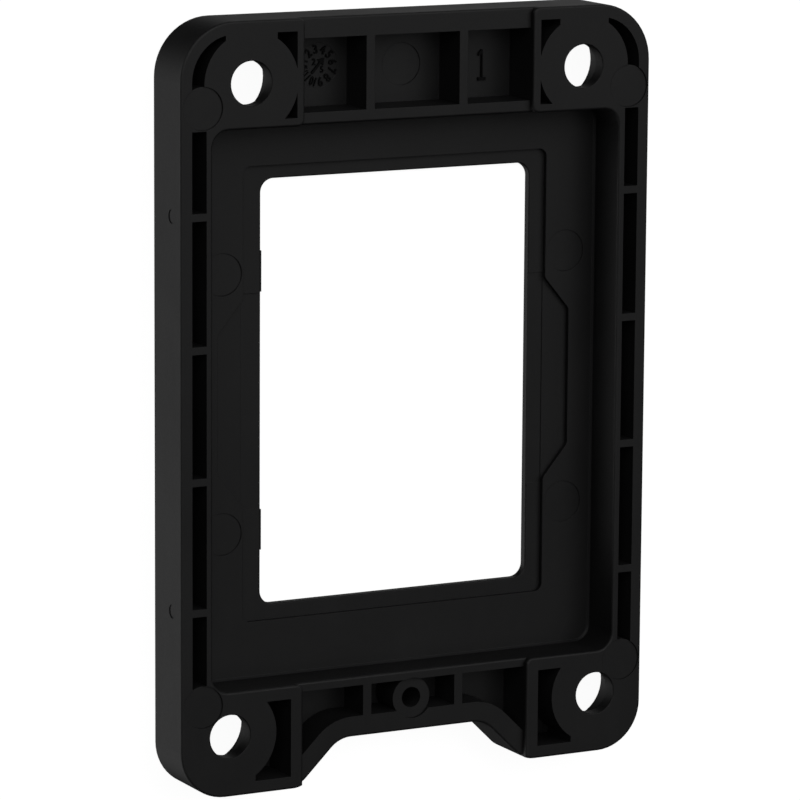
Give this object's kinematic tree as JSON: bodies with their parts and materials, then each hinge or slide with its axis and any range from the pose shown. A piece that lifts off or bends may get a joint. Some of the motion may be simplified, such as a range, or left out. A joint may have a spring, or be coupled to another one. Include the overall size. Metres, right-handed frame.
{
  "type": "cpu socket retention frame",
  "caption": "Moulded plastic frame that holds a processor package in a shallow tub round a window, with bossed mounting holes and cored rails.",
  "frame": {"origin": "middle of the outline on the smooth back face", "axes": "+Z out of the ribbed side with the tub, +Y towards the closed end rail, +X to the right of it"},
  "size_m": [0.075, 0.1106, 0.009],
  "materials": {
    "black_plastic": "fine satin texture, moulded black"
  },
  "bodies": {
    "root": {"retention_frame": "black_plastic"}
  },
  "joints": []
}
